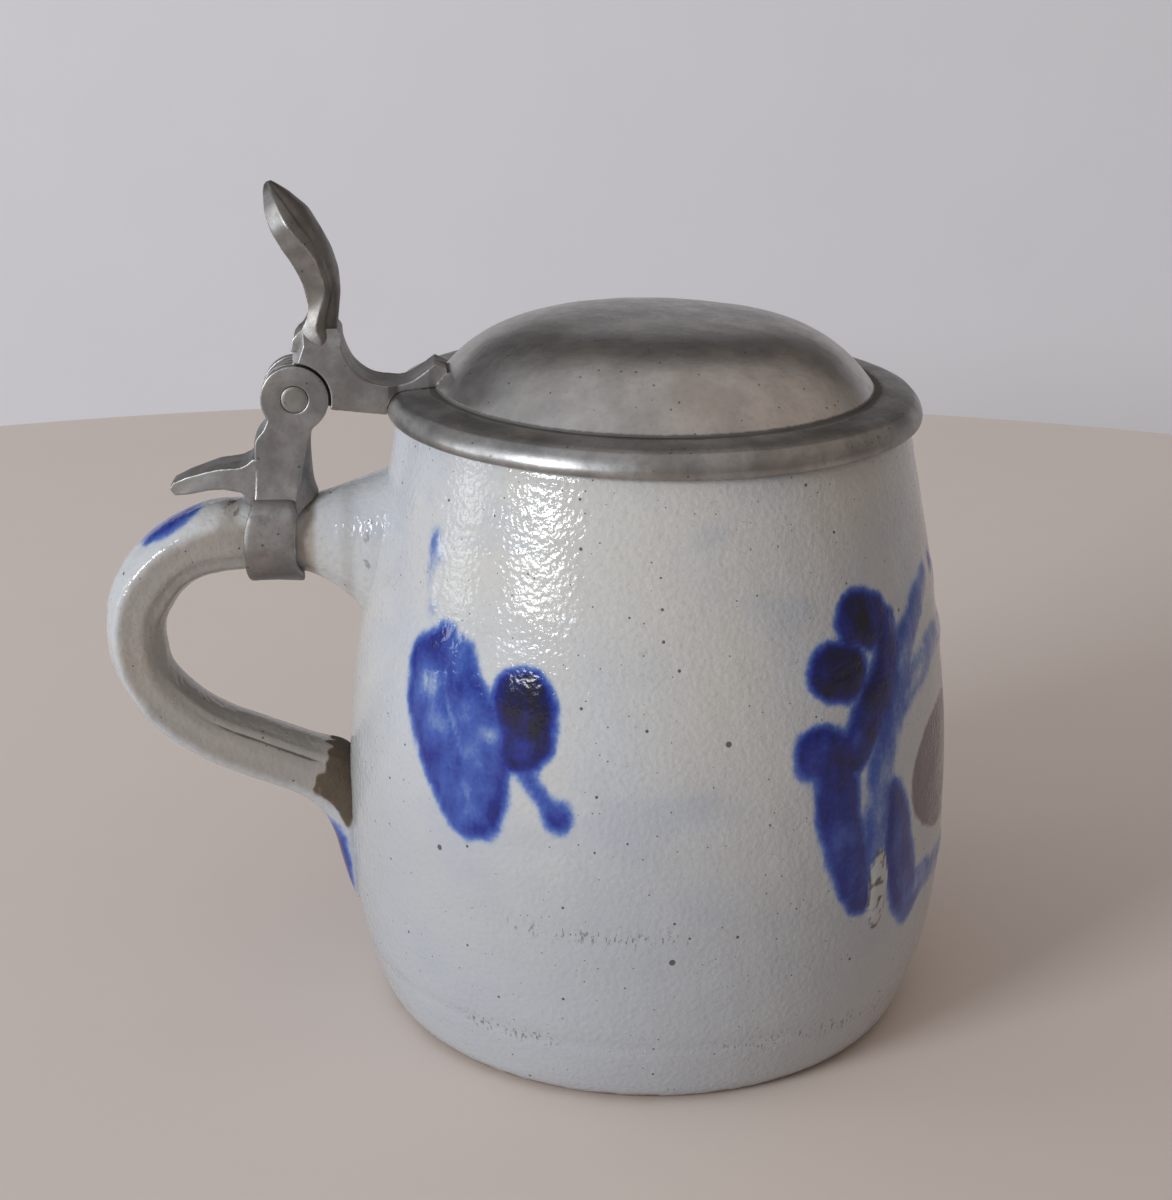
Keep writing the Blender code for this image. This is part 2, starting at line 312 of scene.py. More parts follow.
def curvature(points, faces, edges):
    """About 1 on sharp outer edges and -1 in sharp corners, spread a little."""
    normals = normals_of(points, faces)
    bend = ((points - neighbour_mean(points, edges)) * normals).sum(axis=1)
    for _ in range(3):
        bend = bend * 0.4 + neighbour_mean(bend, edges) * 0.6
    return np.clip(bend / (np.percentile(np.abs(bend), 97) + 1e-9), -1, 1)


def cast(name, parts, cuts, look, body, nodes, shape=None, relax=2, voxel=0.15):
    """A cast pewter piece: softened, shaped, a little uneven, its edges worn and its corners dirty."""
    points, faces = cast_solid(parts, cuts, voxel)
    edges = edges_of(faces)
    points = relaxed(points, edges, relax)
    if shape:
        points = relaxed(shape(points), edges, 1)
    points = points + normals_of(points, faces) * (wobble(points, 4.5, len(name)) * CAST_UNEVEN)[:, None]
    bend = curvature(points, faces, edges)
    fields = {"worn": np.maximum(bend, 0), "hollow": np.maximum(-bend, 0)}
    piece(name, points, faces, look, body, nodes, fields)


# ---- materials

class Look:
    """A material or world being put together; each method adds nodes and returns an output."""

    def __init__(self, owner, coordinates="Object"):
        self.owner = owner
        owner.use_nodes = True
        self.tree = owner.node_tree
        self.tree.nodes.clear()
        self.position = self.put("TexCoord", out=coordinates)

    def put(self, kind, values=None, out=0, **settings):
        node = self.tree.nodes.new("ShaderNode" + kind)
        for key, value in settings.items():
            setattr(node, key, value)
        for key, value in (values or {}).items():
            if isinstance(value, bpy.types.NodeSocket):
                self.tree.links.new(value, node.inputs[key])
            else:
                node.inputs[key].default_value = value
        return node.outputs[out] if len(node.outputs) else None

    def sums(self, operation, a, b=0.0, c=0.0):
        return self.put("Math", {0: a, 1: b, 2: c}, operation=operation)

    def plus(self, a, b):
        return self.sums("ADD", a, b)

    def times(self, a, b):
        return self.sums("MULTIPLY", a, b)

    def field(self, name):
        return self.put("Attribute", out="Fac", attribute_name=name)

    def axis(self, name):
        return self.put("SeparateXYZ", {"Vector": self.position}, name)

    def noise(self, size, detail=2.0, roughness=0.5, vector=None):
        """Noise with features of about that size in millimetres, centred on 0.5."""
        values = {"Vector": vector or self.position, "Scale": 1 / (size * MM), "Detail": detail}
        return self.put("TexNoise", {**values, "Roughness": roughness})

    def cells(self, size):
        """The distance from the middle of a cell of about that size, in cells."""
        return self.put("TexVoronoi", {"Vector": self.position, "Scale": 1 / (size * MM)}, "Distance")

    def swing(self, size, amount, detail=2.0, vector=None):
        """Noise from about -amount to amount."""
        return self.sums("MULTIPLY_ADD", self.noise(size, detail, vector=vector), 2 * amount, -amount)

    def between(self, value, low, high, start=0.0, end=1.0):
        """start below low, end above high, and a smooth step between."""
        values = {"Value": value, "From Min": low, "From Max": high, "To Min": start, "To Max": end}
        return self.put("MapRange", values, interpolation_type="SMOOTHSTEP")

    def mix(self, share, a, b, blend="MIX"):
        a, b = ((*c, 1.0) if isinstance(c, tuple) else c for c in (a, b))
        return self.put("Mix", {0: share, 6: a, 7: b}, out=2, data_type="RGBA", blend_type=blend)

    def mixed(self, share, a, b):
        """The same for plain numbers."""
        return self.put("Mix", {0: share, 2: a, 3: b}, out=0, data_type="FLOAT")

    def ramp(self, value, stops):
        node = self.tree.nodes.new("ShaderNodeValToRGB")
        self.tree.links.new(value, node.inputs[0])
        elements = node.color_ramp.elements
        while len(elements) < len(stops):
            elements.new(0.5)
        for element, (place, colour) in zip(elements, stops):
            element.position = place
            element.color = (*colour, 1.0)
        return node.outputs[0]

    def stretched(self, x, y, z):
        return self.put("Mapping", {"Vector": self.position, "Scale": (x, y, z)})

    def bump(self, height, depth, normal=None):
        """Height from 0 to 1 as a relief of that depth in millimetres, over an earlier one."""
        values = {"Distance": depth * MM, "Height": height}
        return self.put("Bump", {**values, "Normal": normal} if normal else values, "Normal")

    def finish(self, **sockets):
        """Sockets are the Principled shader's, with _ for a space."""
        values = {key.replace("_", " "): value for key, value in sockets.items()}
        shader = self.put("BsdfPrincipled", values)
        self.put("OutputMaterial", {"Surface": shader})
        return self.owner


def material_look(name):
    return Look(bpy.data.materials.new(name))


def salt_glaze():
    """Grey salt glaze with an orange-peel skin, iron specks, cobalt brushwork and bare clay."""
    look = material_look("salt_glaze")
    height = look.times(look.axis("Z"), 1 / MM)

    # Glaze colour: cool grey clouds, warmer patches, fine mottling and faint turning lines.
    clouds = look.noise(34, 3, vector=look.stretched(1, 1, 0.7))
    glaze = look.mix(look.between(clouds, 0.36, 0.66), (0.505, 0.522, 0.552), (0.560, 0.548, 0.522))
    blue = look.between(look.noise(21, 3, vector=look.stretched(1, 1, 1.6)), 0.52, 0.72)
    glaze = look.mix(look.times(blue, 0.42), glaze, (0.370, 0.415, 0.505))
    # Darker towards the bottom of the body, from about 76 mm down to 30 mm.
    low = look.between(look.plus(height, look.swing(16, 14, 3)), 30.0, 76.0, 0.70, 0.0)
    glaze = look.mix(low, glaze, (0.385, 0.405, 0.440))
    lines = look.noise(2.6, 3, 0.7, vector=look.stretched(0.06, 0.06, 1))
    glaze = look.mix(look.between(lines, 0.5, 0.8, 0.0, 0.16), glaze, (0.430, 0.430, 0.420))
    mottle = look.noise(0.9, 3, 0.6)
    glaze = look.mix(look.between(mottle, 0.48, 0.75, 0.0, 0.36), glaze, (0.400, 0.400, 0.400))

    # Iron specks: small ones, and a few larger pits.
    dots = None
    for size, reach, share in ((1.1, 0.12, 0.55), (2.5, 0.11, 0.52), (9.0, 0.062, 0.40)):
        cell = look.cells(size)
        chance = look.put("SeparateColor", {"Color": cell.node.outputs["Color"]})
        radius = look.times(look.between(chance, share, 1.0), reach)
        here = look.sums("LESS_THAN", cell, radius)
        dots = here if dots is None else look.sums("MAXIMUM", dots, here)
    glaze = look.mix(look.times(dots, 0.85), glaze, (0.060, 0.050, 0.045))

    # Chatter marks: short dark nicks in rows.
    nicks = look.noise(0.9, 2, vector=look.stretched(1.6, 1.6, 0.7))
    nick = look.times(look.between(nicks, 0.575, 0.66), look.field("chatter"))
    glaze = look.mix(look.times(nick, 0.75), glaze, (0.150, 0.130, 0.110))

    # Cobalt: feathered at its edge, streaky, and darker where it pooled.
    feather = look.plus(look.swing(2.4, 0.05, 2), look.swing(0.8, 0.02))
    ink = look.plus(look.field("ink"), feather)
    covered = look.between(ink, 0.31, 0.60)
    streaks = look.plus(look.swing(3.2, 0.26, 3, vector=look.stretched(1, 1, 0.45)), look.swing(7.5, 0.24))
    load = look.times(covered, look.plus(look.field("load"), look.plus(streaks, look.swing(0.8, 0.10))))
    cobalt = look.ramp(load, [
        (0.0, (0.330, 0.400, 0.520)), (0.22, (0.170, 0.250, 0.470)), (0.45, (0.045, 0.095, 0.370)),
        (0.70, (0.012, 0.024, 0.220)), (0.88, (0.007, 0.009, 0.085)), (1.0, (0.008, 0.007, 0.022)),
    ])
    colour = look.mix(look.between(load, 0.0, 0.34), glaze, cobalt)

    # Manganese: a purple-brown wash inside the flower.
    plum = look.between(look.plus(look.field("plum"), feather), 0.46, 0.55)
    runny = look.noise(4, 3, vector=look.stretched(1, 1, 0.3))
    plum_tint = look.mix(runny, (0.075, 0.045, 0.085), (0.150, 0.100, 0.120))
    colour = look.mix(look.times(plum, 0.9), colour, plum_tint)

    # Bare clay: the foot, the underside and the joints of the handle.
    worn_edge = look.between(look.plus(height, look.swing(3.0, 1.1)), 0.8, 2.0, 1.0, 0.0)
    bare_noise = look.plus(look.field("bare"), look.swing(1.6, 0.25, 4))
    bare = look.sums("MAXIMUM", look.between(bare_noise, 0.42, 0.60), worn_edge)
    clay = look.mix(look.noise(1.4, 4, 0.7), (0.105, 0.068, 0.042), (0.330, 0.250, 0.180))
    colour = look.mix(bare, colour, clay)
    # The handle's "shade" field darkens its side and inner faces, partly for browner thin glaze and partly
    # as painted shade, with stains beside the band.
    shade = look.between(look.plus(look.field("shade"), look.swing(7.0, 0.16, 3)), 0.15, 0.85)
    colour = look.mix(shade, colour, (0.680, 0.615, 0.545), blend="MULTIPLY")
    crease = look.between(look.plus(look.field("crease"), look.swing(1.2, 0.25)), 0.35, 0.8)
    colour = look.mix(look.times(crease, 0.85), colour, (0.070, 0.052, 0.034))

    # Skin: orange peel all over, smoother in the cobalt, rough where bare.
    peel = look.noise(0.95, 1.5, 0.45)
    skin = look.mixed(look.times(covered, 0.55), peel, 0.5)
    normal = look.bump(skin, 0.14)
    normal = look.bump(mottle, 0.018, normal)
    normal = look.bump(look.sums("SUBTRACT", 1.0, look.sums("MAXIMUM", dots, nick)), 0.10, normal)
    normal = look.bump(look.times(bare, look.noise(0.45, 4, 0.7)), 0.10, normal)
    rough = look.between(look.noise(9, 3), 0.35, 0.70, 0.10, 0.18)
    rough = look.mixed(covered, rough, 0.13)
    rough = look.mixed(bare, rough, 0.85)
    return look.finish(Base_Color=colour, Roughness=rough, Normal=normal, IOR=1.5)


def pewter(name, tint, roughness, turned_lines=False, blotch=1.0):
    """Old pewter: mottled grey, worn bright on its edges, with dirt in its corners."""
    look = material_look(name)
    shade = tuple((1 - 0.34 * blotch) * c for c in tint)
    base = look.mix(look.between(look.noise(7.5, 4, 0.6), 0.36, 0.66), shade, tint)
    mottle = look.between(look.noise(1.1, 4, 0.7), 0.46, 0.80, 0.0, 0.55 * blotch)
    base = look.mix(mottle, base, tuple(0.45 * c for c in tint))
    warm = look.between(look.noise(12, 2), 0.5, 0.7, 0.0, 0.35 * blotch)
    base = look.mix(warm, base, (tint[0] * 0.92, tint[1] * 0.86, tint[2] * 0.74))
    spot = look.sums("LESS_THAN", look.plus(look.cells(2.4), look.swing(0.6, 0.05)), 0.085)
    base = look.mix(look.times(spot, 0.6), base, (0.045, 0.040, 0.034))
    dirt = look.between(look.plus(look.field("hollow"), look.swing(1.0, 0.22, 4)), 0.28, 0.85)
    base = look.mix(look.times(dirt, 0.85), base, (0.050, 0.044, 0.035))
    bright = look.between(look.plus(look.field("worn"), look.swing(1.3, 0.2, 3)), 0.45, 0.95)
    base = look.mix(look.times(bright, 0.32), base, (0.600, 0.590, 0.565))

    if turned_lines:
        x, y = look.axis("X"), look.axis("Y")
        radius = look.sums("SQRT", look.plus(look.times(x, x), look.times(y, y)))
        rings = look.put("CombineXYZ", {"X": radius, "Y": look.times(x, 0.04), "Z": look.times(y, 0.04)})
        grain = look.noise(0.35, 3, 0.7, vector=rings)
    else:
        grain = look.noise(0.5, 3, 0.7, vector=look.stretched(0.35, 1, 1))
    normal = look.bump(grain, 0.012)
    normal = look.bump(look.noise(1.7, 3, 0.6), 0.035, normal)
    normal = look.bump(look.sums("SUBTRACT", 1.0, spot), 0.05, normal)
    rough = look.plus(roughness, look.plus(look.swing(2.2, 0.09, 4), look.times(grain, 0.08)))
    rough = look.mixed(look.times(dirt, 0.8), rough, 0.75)
    rough = look.mixed(look.times(bright, 0.5), rough, roughness - 0.12)
    metal = look.between(dirt, 0.0, 1.0, 1.0, 0.35)
    return look.finish(Base_Color=base, Metallic=metal, Roughness=rough, Normal=normal)


GLAZE = salt_glaze()
CAST_PEWTER = pewter("cast_pewter", (0.375, 0.363, 0.360), 0.47)
THUMB_PEWTER = pewter("thumb_pewter", (0.310, 0.298, 0.288), 0.45)
RIM_PEWTER = pewter("rim_pewter", (0.455, 0.445, 0.440), 0.35, turned_lines=True)
DOME_PEWTER = pewter("dome_pewter", (0.620, 0.598, 0.582), 0.28, turned_lines=True, blotch=0.6)
PIN_PEWTER = pewter("pin_pewter", (0.430, 0.420, 0.395), 0.44)


# ---- stoneware body

def body_loop():
    """The body's section, and how many of its points from the start are outside the lip."""
    underside = [(0.0, 1.1), (20.0, 1.1), (38.5, 0.95), (40.2, 0.4), (41.0, 0.05), (42.2, 0.0),
                 (FOOT_RADIUS, 0.0)]
    heel = spline([(FOOT_RADIUS, 0.0), (44.8, 0.25), BODY_SIDE[0]], 4)
    side = resample(spline(BODY_SIDE), 118)
    lip = spline([BODY_SIDE[-1], (LIP_RADIUS, 106.2), (LIP_RADIUS - 0.9, 106.8),
                  (LIP_RADIUS - 2.2, LIP_HEIGHT), (LIP_RADIUS - 3.5, 106.6), (LIP_RADIUS - 4.1, 105.6),
                  (LIP_RADIUS + 0.4 - WALL, 104.0)], 3)
    inside = side[::-4] - (WALL, 0.0)
    inside = inside[(inside[:, 1] > FLOOR + 8) & (inside[:, 1] < 103.0)]
    floor = [inside[-1], (45.3, FLOOR + 5.0), (42.8, FLOOR + 1.6), (38.7, FLOOR), (30.0, FLOOR)]
    floor = spline(floor, 5)[1:]
    outside = np.vstack([underside, heel[1:-1], side])
    return np.vstack([outside, lip[1:], inside, floor, [(12.0, FLOOR), (0.0, FLOOR)]]), len(outside)


def stroke_distance(u, z, stroke):
    """Millimetres inside a brush stroke that each point is; a stroke is a line of (azimuth, z, radius)."""
    path = [(math.radians(azimuth) * PAINT_RADIUS, height, radius) for azimuth, height, radius in stroke]
    if len(path) == 1:
        path = path * 2
    best = np.full(len(u), -1e3)
    for (ua, za, ra), (ub, zb, rb) in zip(path, path[1:]):
        du, dz = ub - ua, zb - za
        t = np.clip(((u - ua) * du + (z - za) * dz) / max(du * du + dz * dz, 1e-9), 0, 1)
        best = np.maximum(best, ra + (rb - ra) * t - np.hypot(u - ua - t * du, z - za - t * dz))
    return best


SPRIG_AT, FLOWER_AT, FAR_SPRIG_AT = -129.0, -20.0, 100.0

# Brush strokes, as (how loaded the brush was, [(azimuth from the motif's middle, z, radius)]).
SPRIG = [
    (0.58, [(-7.6, 77.2, 2.8), (-11.8, 73.0, 4.4), (-11.4, 68.0, 4.8), (-9.0, 63.0, 4.6), (-5.0, 58.0, 4.4),
            (-1.6, 53.6, 4.6), (0.4, 50.8, 4.2)]),
    (0.52, [(-4.5, 75.6, 3.2), (-2.8, 71.5, 3.8), (2.0, 65.0, 4.4), (3.4, 60.0, 4.0)]),
    (0.62, [(4.4, 62.0, 3.6), (4.4, 56.0, 3.6), (3.0, 50.8, 3.6)]),
    (0.82, [(10.6, 70.6, 5.2), (11.4, 66.4, 5.0), (10.2, 63.2, 4.0)]),
    (0.40, [(11.6, 59.0, 1.3), (15.3, 56.0, 1.0), (17.6, 54.2, 0.9)]),
    (0.60, [(18.1, 53.4, 2.3)]),
    (0.15, [(-14.6, 92.0, 2.0), (-13.8, 90.0, 2.3), (-14.2, 86.2, 1.3), (-13.4, 81.7, 1.2)]),
]
# The left half of the flower; the right half mirrors it.
HALF_FLOWER = [
    (0.78, [(-33.6, 82.0, 4.1), (-28.8, 81.0, 4.1)]),
    (0.80, [(-40.0, 74.7, 4.4), (-36.6, 74.1, 4.4)]),
    (0.72, [(-44.0, 62.2, 4.1), (-41.6, 61.8, 4.1)]),
    (0.76, [(-25.1, 79.2, 2.8), (-24.6, 74.2, 3.7), (-27.9, 69.0, 4.1), (-32.5, 64.7, 3.9),
            (-36.0, 61.0, 3.6)]),
    (0.66, [(-41.0, 59.5, 3.4), (-39.6, 55.0, 4.1), (-39.3, 50.4, 4.1), (-37.6, 44.5, 4.0),
            (-35.6, 38.8, 3.4), (-33.6, 35.0, 2.2)]),
    (0.34, [(-3.8, 83.6, 1.8), (-12.7, 79.6, 2.8), (-18.3, 75.6, 3.3), (-21.1, 71.0, 3.4),
            (-23.5, 66.3, 3.2), (-26.3, 61.7, 3.1), (-28.6, 56.9, 3.0), (-29.7, 50.9, 2.9),
            (-31.2, 43.0, 2.6)]),
    (0.68, [(-25.5, 51.5, 2.2), (-24.2, 46.6, 3.2), (-23.6, 41.2, 3.8), (-21.6, 34.9, 4.1),
            (-18.6, 29.8, 3.8)]),
    (0.24, [(1.1, 72.3, 2.2), (-8.4, 71.0, 2.9), (-15.2, 68.9, 3.2), (-20.4, 66.5, 2.8)]),
    (0.30, [(-18.6, 30.6, 3.6), (-13.0, 32.0, 3.0), (-6.0, 31.6, 2.4), (2.0, 31.6, 2.2)]),
]
# Where the colour is heavier or thinner than its stroke: (azimuth from the middle, z, radius, change).
SPRIG_POOLS = [
    (10.6, 69.6, 3.0, 0.26), (9.4, 72.4, 2.0, 0.16), (11.8, 66.5, 2.0, 0.12), (-9.9, 70.3, 2.8, -0.36),
    (-7.4, 64.5, 2.5, -0.30), (-1.4, 60.8, 2.5, -0.30), (0.8, 54.9, 2.3, -0.28), (1.8, 51.2, 1.8, -0.22),
    (5.0, 64.7, 1.9, -0.36), (-9.5, 76.0, 2.6, 0.20), (-3.0, 71.5, 2.2, 0.12), (-7.0, 58.8, 1.6, 0.14),
]
FLOWER_POOLS = [
    (-31.6, 81.6, 2.4, 0.20), (-38.4, 74.6, 2.2, 0.10), (-28.4, 69.0, 2.2, 0.12), (-39.6, 47.0, 2.4, -0.12),
]
RIM_LOAD = 0.07  # how much darker the colour dries at the edge of a stroke
HEART_SIZE, HEART_HEIGHT = (16.8, 11.4), 49.6  # the manganese oval in the flower
RUN_AT, RUN_HEIGHT, RUN_SIZE = -49.4, 35.4, (2.7, 8.6)  # a run of glaze through the flower

def painted(azimuth, z):
    """The body's paint fields at these azimuths and heights."""
    def away(at):
        return np.radians((azimuth - at + 180) % 360 - 180) * PAINT_RADIUS

    strokes, pools = [], []
    for at, side, lines, spots in (
        (SPRIG_AT, 1, SPRIG, SPRIG_POOLS), (FAR_SPRIG_AT, -1, SPRIG, SPRIG_POOLS),
        (FLOWER_AT, 1, HALF_FLOWER, FLOWER_POOLS), (FLOWER_AT, -1, HALF_FLOWER, FLOWER_POOLS),
    ):
        strokes += [(side * away(at), load, path) for load, path in lines]
        pools += [(side * away(at), pool) for pool in spots]
    inside, weight, loads = np.full(len(z), -1e3), np.zeros(len(z)), np.zeros(len(z))
    flat = np.stack([np.radians(azimuth) * PAINT_RADIUS, z, 0 * z], axis=1)
    uneven = 0.35 * wobble(flat, 9.0, 61) + 0.10 * wobble(flat, 3.0, 62)
    for u, load, path in strokes:
        depth = stroke_distance(u, z, path) + uneven
        inside = np.maximum(inside, depth)
        share = np.exp(np.clip(depth, -30, 8) / 0.8)
        weight += share
        loads += share * load
    loads /= np.maximum(weight, 1e-12)
    for u, (at, height, radius, change) in pools:
        loads += change * np.exp(-(np.hypot(u - math.radians(at) * PAINT_RADIUS, z - height) / radius) ** 2)
    loads += RIM_LOAD * bell(inside, 1.3, 1.1)
    oval = 1 - np.hypot(away(FLOWER_AT) / HEART_SIZE[0], (z - HEART_HEIGHT) / HEART_SIZE[1])
    plum = 0.5 + oval * min(HEART_SIZE) / INK_REACH
    ink = 0.5 + inside / INK_REACH
    return {key: np.clip(field, 0, 1) for key, field in (("ink", ink), ("load", loads), ("plum", plum))}


def stoneware_body():
    loop, outside_rows = body_loop()
    points, faces = turned(loop, BODY_SEGMENTS)
    rings = len(loop) - 2
    row = np.append(np.repeat(np.arange(1, rings + 1), BODY_SEGMENTS), [0, len(loop) - 1])
    radius, z = np.hypot(points[:, 0], points[:, 1]), points[:, 2].copy()
    azimuth = np.degrees(np.arctan2(points[:, 1], points[:, 0]))
    turn = np.radians(azimuth)
    outside = (row < outside_rows) & (row > UNDERSIDE_ROWS)
    low_foot = smoothstep(z, 0.5, 6.0)

    # Thrown and ribbed by hand: soft rings, a slightly uneven wall, rows of chatter, a run of glaze.
    push = 0.018 * np.sin(z * 0.93 + 1.2 * np.sin(turn))
    push = push + 0.010 * np.sin(z * 2.1 + 0.8 * np.sin(2 * turn + 1))
    push = push + 0.16 * wobble(points, 38.0, 5) + 0.05 * wobble(points, 9.0, 6)
    push = push - 0.20 * bell(z, 12.5, 0.8) * smoothstep(np.cos(turn + 1.9), 0.2, 0.9)
    run_u = np.radians(azimuth - RUN_AT) * PAINT_RADIUS
    run = smoothstep(1 - np.hypot(run_u / RUN_SIZE[0], (z - RUN_HEIGHT) / RUN_SIZE[1]), 0, 0.6)
    fields = painted(azimuth, z)
    push = push + 0.55 * run + 0.26 * smoothstep(fields["ink"], 0.44, 0.76)
    points[:, :2] *= 1 + np.where(outside, push * low_foot / np.maximum(radius, 1), 0)[:, None]

    rows = bell(z, 33.5, 1.1) * smoothstep(np.cos(np.radians(azimuth + 104)), 0.93, 0.99)
    broken = smoothstep(wobble(points, 22.0, 9), -0.2, 0.5)
    rows = rows + bell(z + 2.0 * np.sin(turn + 0.7), 10.5, 1.3) * broken
    for key in ("ink", "load", "plum"):
        fields[key] = np.where(outside, fields[key], 0)
    bared = smoothstep(run, 0.1, 0.5)
    fields["ink"] *= 1 - 0.6 * bared
    fields["load"] *= 1 - 0.5 * bared
    fields["chatter"] = np.where(outside, np.clip(rows, 0, 1), 0)
    fields["bare"] = np.where(row <= UNDERSIDE_ROWS, 1.0, 0.0)
    scabs = smoothstep(run, 0.4, 0.8) * smoothstep(wobble(points, 3.0, 8), 0.1, 0.5)
    crease = bell(run, 0.25, 0.2) * (np.abs(run_u) < 4) * (run > 0.01) + scabs
    fields["crease"] = np.where(outside, 0.8 * np.clip(crease, 0, 1), 0)
    piece("stoneware_body_shell", points, faces, GLAZE, "mug", ["stoneware_body"], fields)


# ---- handle

HANDLE_RUNGS = [  # outer (out, z), inner (out, z), half width
    (43.0, 98.2, 48.6, 69.0, 10.0), (46.6, 96.0, 49.9, 71.2, 9.5), (52.0, 93.9, 52.0, 74.0, 8.3),
    (56.0, 92.5, 56.0, 77.0, 7.4), (59.8, 91.6, 59.8, 78.7, 7.0), (65.5, 91.3, 65.5, 79.1, 6.8),
    (70.5, 91.2, 70.5, 79.2, 6.8), (77.0, 90.4, 76.2, 78.2, 6.9), (84.2, 86.7, 80.0, 76.0, 6.9),
    (90.0, 81.2, 82.6, 72.3, 6.9), (93.4, 74.2, 83.8, 69.4, 6.9), (93.9, 65.8, 83.9, 65.4, 6.9),
    (91.9, 58.1, 83.1, 61.5, 6.8), (86.3, 50.4, 79.7, 57.2, 6.7), (79.0, 44.9, 74.3, 53.3, 6.7),
    (70.0, 40.6, 66.4, 50.0, 6.7), (62.8, 37.8, 59.2, 47.1, 6.9), (58.4, 34.6, 53.2, 45.4, 7.4),
    (56.2, 30.0, 49.6, 41.5, 7.6), (54.8, 24.5, 48.9, 35.0, 7.0), (53.5, 19.5, 48.8, 28.0, 5.4),
    (52.2, 15.8, 49.0, 22.0, 2.6),
]


def handle():
    across, per_span = 144, 12
    line = spline(HANDLE_RUNGS, per_span)
    rung = np.arange(len(line)) / per_span  # which rung each ring is at
    around = full_turn(across)
    degrees = np.degrees(np.minimum(around, 2 * math.pi - around))  # 0 on the outer face, 180 on the inner
    lower_arm = plateau(rung, 11.5, 13.5, 16.6, 17.6)
    upper_arm = plateau(rung, 4.6, 5.6, 9.0, 11.0)
    middle = plateau(rung, 3.5, 5.0, 16.4, 18.4)
    groove = np.outer(plateau(rung, 13.0, 14.5, 16.0, 16.6), bell(degrees, 127, 3.2))
    relief = -0.24 * groove
    for depth, where, centre, width in (  # long hollows and ridges that the fingers leave
        (-0.35, upper_arm, 118, 12), (0.22, upper_arm, 138, 9), (0.42, middle, 62, 13),
        (-0.30, middle, 92, 14), (0.25, lower_arm, 140, 8),
    ):
        relief = relief + depth * np.outer(where, bell(degrees, centre, width))
    rings = []
    for k, (outer_out, outer_z, inner_out, inner_z, half_width) in enumerate(line):
        outer, inner = np.array([-outer_out, 0, outer_z]), np.array([-inner_out, 0, inner_z])
        centre, reach = (outer + inner) / 2, (outer - inner) / 2
        along, sideways = squarish(around, 2 / (2.05 + 0.2 * middle[k]))
        ring = centre + np.outer(along * (1 + relief[k] / np.linalg.norm(reach)), reach)
        ring[:, 1] += sideways * (half_width + relief[k]) * (1 + 0.05 * np.cos(around))
        rings.append(ring)
    points, faces = lofted(rings)
    skin, free = points[:-2], np.repeat(middle, across)
    out, high = np.repeat((line[:, :2] + line[:, 2:4]) / 2, across, axis=0).T
    push = 0.10 * wobble(skin, 11.0, 21) + 0.05 * wobble(skin, 4.0, 22)
    away = skin - np.stack([-out, 0 * out, high], axis=1)
    away /= np.maximum(np.linalg.norm(away, axis=1), 1e-9)[:, None]
    skin += away * (push * free)[:, None]

    rungs, turn = np.repeat(rung, across), np.tile(degrees, len(line))
    ragged = 0.12 * wobble(skin, 3.0, 23)
    top_dab = 1 - np.hypot((rungs - 7.72) / 0.66, turn / 36)
    tail_dab = 1 - np.hypot((rungs - 18.9) / 1.5, turn / 52)
    ink = 0.5 + 0.35 * np.maximum(top_dab, tail_dab)
    joint = smoothstep(rungs + ragged, 16.2, 16.6) * (1 - smoothstep(rungs, 18.0, 18.7))
    joint = joint * smoothstep(turn, 60, 80)
    bare = 0.75 * joint + 0.30 * bell(rungs, 2.2, 0.6) * bell(turn, 25, 40)
    crease = np.maximum(groove.ravel() * 0.9, 0.85 * joint)
    # Painted shade: the side and inner faces are made darker and browner, partly for the browner thin glaze
    # there and partly as painted shade. The bells below also darken rings beside the band (stains) and near
    # the upper joint.
    shade = smoothstep(turn + 20 * ragged, 46, 90) * free
    for share, centre, width in ((0.75, 6.2, 0.35), (0.75, 3.7, 0.4), (0.45, 2.0, 0.5)):
        shade = shade + share * bell(rungs, centre, width)
    grime = 0.75 * bell(rungs, 6.15, 0.3) * (1 - smoothstep(turn, 35, 70)) + 0.45 * bell(rungs, 3.75, 0.25)
    grime = grime * smoothstep(ragged, -0.10, 0.04)
    grime = grime + 0.6 * bell(rungs, 1.1, 0.5) * smoothstep(ragged, 0.05, 0.10)
    crease = np.maximum(crease, grime)
    load = np.where(rungs < 12, 0.62, 0.80)
    fields = {"ink": ink, "load": load, "bare": bare, "crease": crease, "shade": shade}
    fields = {key: np.append(np.clip(field, 0, 1), [0, 0]) for key, field in fields.items()}
    piece("stoneware_handle_pulled", points, faces, GLAZE, "mug", ["stoneware_handle"], fields)


# ---- pewter on the mug

